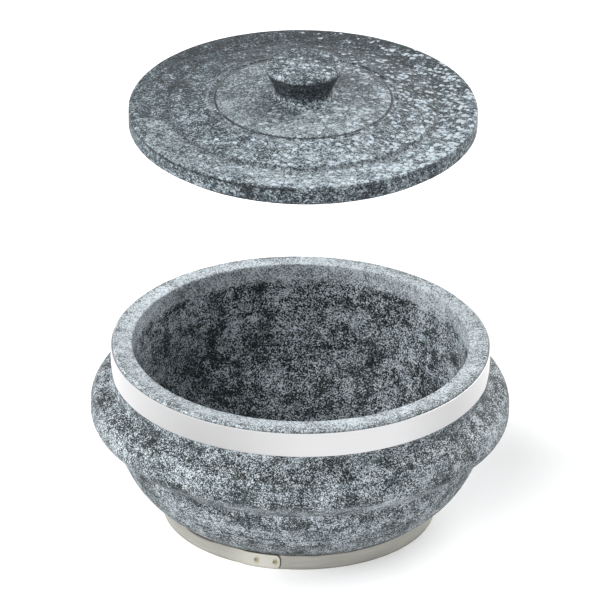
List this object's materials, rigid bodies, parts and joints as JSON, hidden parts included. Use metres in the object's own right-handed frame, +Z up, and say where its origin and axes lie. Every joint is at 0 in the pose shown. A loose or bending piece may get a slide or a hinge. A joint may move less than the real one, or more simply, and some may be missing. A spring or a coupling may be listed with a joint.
{
  "type": "lidded stone pot",
  "caption": "Round stone cooking pot with a carrying flange, steel straps round its rim and foot, and a flat stone lid with a turned knob.",
  "frame": {"origin": "centre of the foot's underside, on the bench", "axes": "+Z up along the turning axis; -Y towards the front, where the foot strap's lap is just to the left"},
  "size_m": [0.1992, 0.1992, 0.2366],
  "materials": {
    "bowl_stone": "matt turned speckled stone",
    "polished_steel": "polished stainless",
    "satin_steel": "satin stainless",
    "lid_stone": "matt turned layered stone"
  },
  "bodies": {
    "pot": {"stone_bowl": "bowl_stone", "rim_band": "polished_steel", "foot_ring": "satin_steel"},
    "lid": {"stone_lid": "lid_stone"}
  },
  "joints": [
    {"name": "lid_lift", "type": "slide", "parent": "pot", "child": "lid", "axis": [0, 0, 1], "range_m": [-0.116, 0]}
  ]
}
